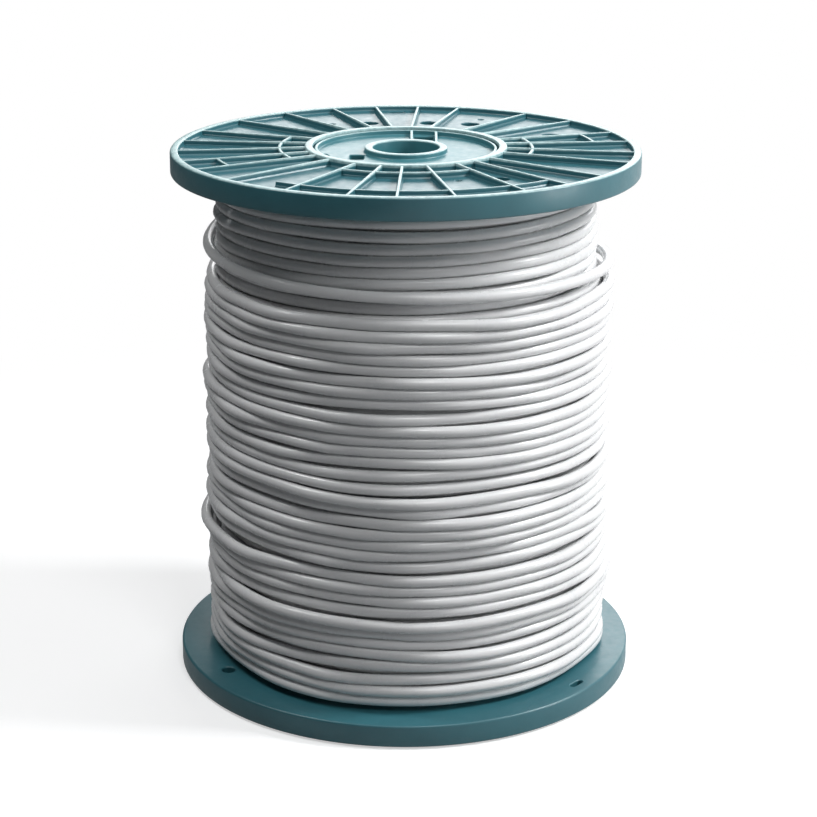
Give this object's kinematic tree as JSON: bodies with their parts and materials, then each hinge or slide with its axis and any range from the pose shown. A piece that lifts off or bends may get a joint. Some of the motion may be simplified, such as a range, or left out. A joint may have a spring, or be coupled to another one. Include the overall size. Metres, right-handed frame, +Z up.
{
  "type": "wire spool",
  "caption": "Cable spool: two round ribbed flanges on a hollow barrel with an arbor bore, wound full with white sheathed cable.",
  "frame": {"origin": "centre of the base: the middle of the lower collar's end face, which the spool stands on", "axes": "+Z up along the spool's axis; -Y faces the viewer, +X to the viewer's right"},
  "size_m": [0.29, 0.29, 0.3375],
  "materials": {
    "flange_plastic": "satin moulded plastic, petrol green",
    "hub_plastic": "satin moulded plastic, petrol green",
    "barrel_plastic": "satin moulded plastic, petrol green",
    "cable_sheath": "satin PVC sheath, white"
  },
  "bodies": {
    "root": {"bottom_flange": "flange_plastic", "top_flange": "flange_plastic", "bottom_hub": "hub_plastic", "top_hub": "hub_plastic", "barrel": "barrel_plastic", "arbor_tube": "barrel_plastic", "cable_pack": "cable_sheath", "cable_outer_layer": "cable_sheath"}
  },
  "joints": []
}
